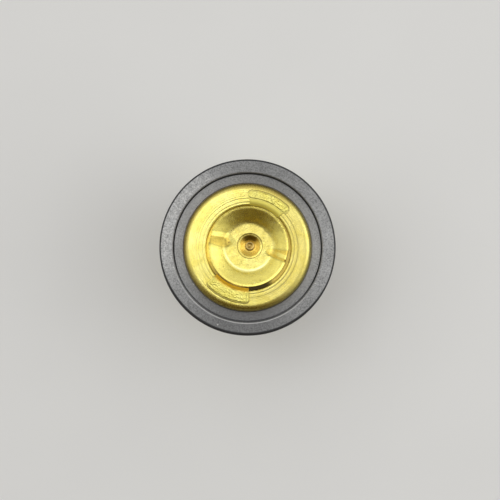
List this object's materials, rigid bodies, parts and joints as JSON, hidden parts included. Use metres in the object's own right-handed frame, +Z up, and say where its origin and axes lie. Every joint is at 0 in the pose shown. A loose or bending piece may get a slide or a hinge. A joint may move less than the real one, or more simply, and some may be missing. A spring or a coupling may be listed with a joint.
{
  "type": "engine thermostat",
  "caption": "Wax-element engine thermostat: pressed brass ring in a rubber seal, with a dish valve that a capsule lifts against a conical spring.",
  "frame": {"origin": "on the seal's axis, at the underside of the cage's foot", "axes": "+Z up along the valve's lift, towards the dish; the cage's two legs and folded tabs lie on +Y and -Y"},
  "size_m": [0.054, 0.054, 0.0468],
  "materials": {
    "brass": "satin pressed sheet",
    "capsule_brass": "turned and drawn",
    "seal_rubber": "moulded, satin",
    "inner_rubber": "moulded",
    "polished_steel": "ground",
    "spring_steel": "drawn wire",
    "slip_plastic": "plain",
    "wax": "wax with metal powder"
  },
  "bodies": {
    "frame": {"rubber_seal": "seal_rubber", "flange_ring": "brass", "cage": "brass", "piston": "polished_steel", "rubber_plug": "inner_rubber", "slip_disc": "slip_plastic", "return_spring": "spring_steel"},
    "valve": {"valve_dish": "brass", "capsule_cup": "capsule_brass", "wax_charge": "wax", "diaphragm": "inner_rubber", "piston_guide": "capsule_brass", "spring_plate": "brass"}
  },
  "joints": [
    {"name": "valve_lift", "type": "slide", "parent": "frame", "child": "valve", "axis": [0, 0, 1], "range_m": [0, 0.008], "stiffness_N_per_m": 2200, "springref_m": -0.012, "deforming": ["return_spring"]}
  ]
}
